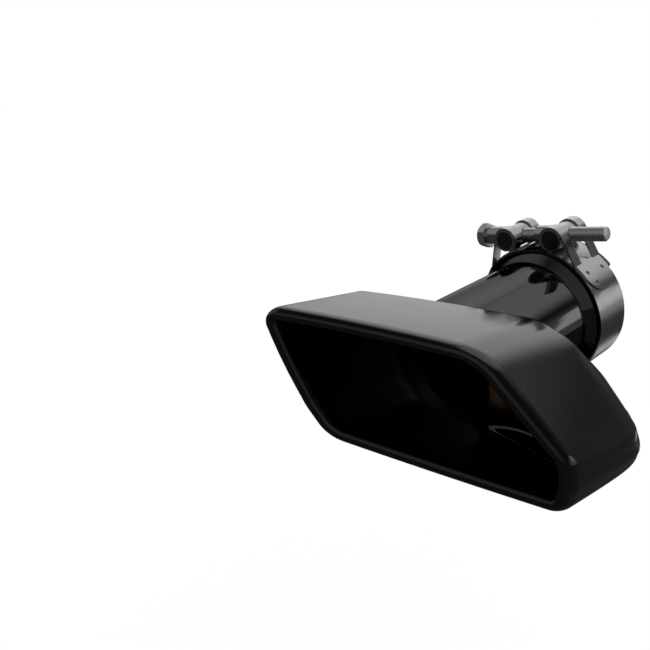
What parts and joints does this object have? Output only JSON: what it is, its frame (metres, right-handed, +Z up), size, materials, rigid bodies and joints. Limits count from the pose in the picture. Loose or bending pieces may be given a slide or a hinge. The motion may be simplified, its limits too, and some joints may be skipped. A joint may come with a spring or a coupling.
{
  "type": "exhaust tip",
  "caption": "Double-walled angular exhaust tip with a rolled lip, a swept side and a slotted round inlet socket held by a bolted band clamp.",
  "frame": {"origin": "centre of the inlet socket's open end", "axes": "+X outboard, +Y rearward towards the car's tailpipe, +Z up with the casing level; the outlet faces -Y"},
  "size_m": [0.1276, 0.209, 0.1108],
  "materials": {
    "black_chrome": "gloss black chrome",
    "dark_liner": "dark, satin",
    "black_pipe": "gloss black chrome",
    "band_steel": "smooth, semi-bright",
    "black_plate": "satin black",
    "barrel_steel": "bright nickel",
    "bolt_steel": "dark zinc"
  },
  "bodies": {
    "tip": {"outer_shell": "black_chrome", "inner_liner": "dark_liner", "inlet_pipe": "black_pipe", "clamp_band": "band_steel", "bridge_plate": "black_plate", "head_trunnion": "barrel_steel", "threaded_trunnion": "barrel_steel"},
    "bolt": {"clamp_bolt": "bolt_steel"}
  },
  "joints": [
    {"name": "bolt_turn", "type": "hinge", "parent": "tip", "child": "bolt", "pos_m": [-0.01332, -0.02455, 0.03483], "axis": [0.953, -0.2165, 0.2119], "continuous": true}
  ]
}
